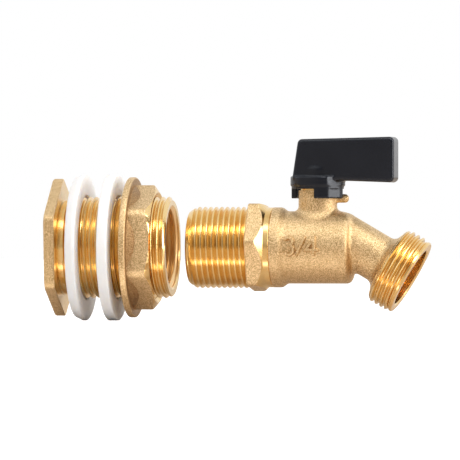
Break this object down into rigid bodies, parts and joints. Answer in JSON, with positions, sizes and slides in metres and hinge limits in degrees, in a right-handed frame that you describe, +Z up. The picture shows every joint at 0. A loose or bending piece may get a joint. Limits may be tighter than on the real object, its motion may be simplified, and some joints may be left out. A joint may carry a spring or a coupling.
{
  "type": "water butt tap",
  "caption": "Brass lever ball tap for a water butt with a slanted threaded spout, and its flanged tank connector, nut and white washers laid out along one axis.",
  "frame": {"origin": "on the axis of the tank connector's bore, in the plane of the head's sealing face", "axes": "+X out of the butt along the tap's axis, +Z up towards the lever, -Y towards the side that the picture shows"},
  "size_m": [0.1238, 0.0476, 0.0597],
  "materials": {
    "connector_brass": "turned and bright on the shank, matt on the head",
    "nut_brass": "sand-cast and matt, bright at the turned edges",
    "cast_brass": "blasted casting, matt, with a turned outlet thread",
    "turned_brass": "turned and polished",
    "washer_plastic": "milky, slightly see-through at thin edges",
    "seat_plastic": "waxy white",
    "handle_plastic": "moulded, half gloss",
    "seal_rubber": "smooth",
    "ball_chrome": "plated and polished",
    "screw_steel": "zinc plated"
  },
  "bodies": {
    "connector": {"tank_connector": "connector_brass"},
    "inner_washer": {"inner_washer": "washer_plastic"},
    "outer_washer": {"outer_washer": "washer_plastic"},
    "nut": {"flange_nut": "nut_brass"},
    "tap": {"inlet_tail": "turned_brass", "tail_seal_ring": "seal_rubber", "valve_body": "cast_brass", "inlet_seat": "seat_plastic", "outlet_seat": "seat_plastic", "stem_packing": "seat_plastic", "packing_gland": "turned_brass"},
    "handle": {"lever_handle": "handle_plastic", "handle_screw": "screw_steel", "stem": "turned_brass", "ball": "ball_chrome", "stem_thrust_washer": "seat_plastic", "lower_o_ring": "seal_rubber", "upper_o_ring": "seal_rubber"}
  },
  "joints": [
    {"name": "nut_run", "type": "slide", "parent": "connector", "child": "nut", "axis": [1, 0, 0], "range_m": [-0.012, 0.004]},
    {"name": "inner_washer_slide", "type": "slide", "parent": "connector", "child": "inner_washer", "axis": [1, 0, 0], "range_m": [-0.0039, 0.0013]},
    {"name": "outer_washer_slide", "type": "slide", "parent": "connector", "child": "outer_washer", "axis": [1, 0, 0], "range_m": [-0.0085, 0.00284]},
    {"name": "tap_screw_in", "type": "slide", "parent": "connector", "child": "tap", "axis": [1, 0, 0], "range_m": [-0.0254, 0]},
    {"name": "handle_turn", "type": "hinge", "parent": "tap", "child": "handle", "pos_m": [0.0835, 0, 0], "axis": [0, 0, 1], "range_deg": [-90, 0]}
  ],
  "couplings": [
    {"joint": "inner_washer_slide", "follows": "nut_run", "ratio": 0.325},
    {"joint": "outer_washer_slide", "follows": "nut_run", "ratio": 0.70833}
  ]
}
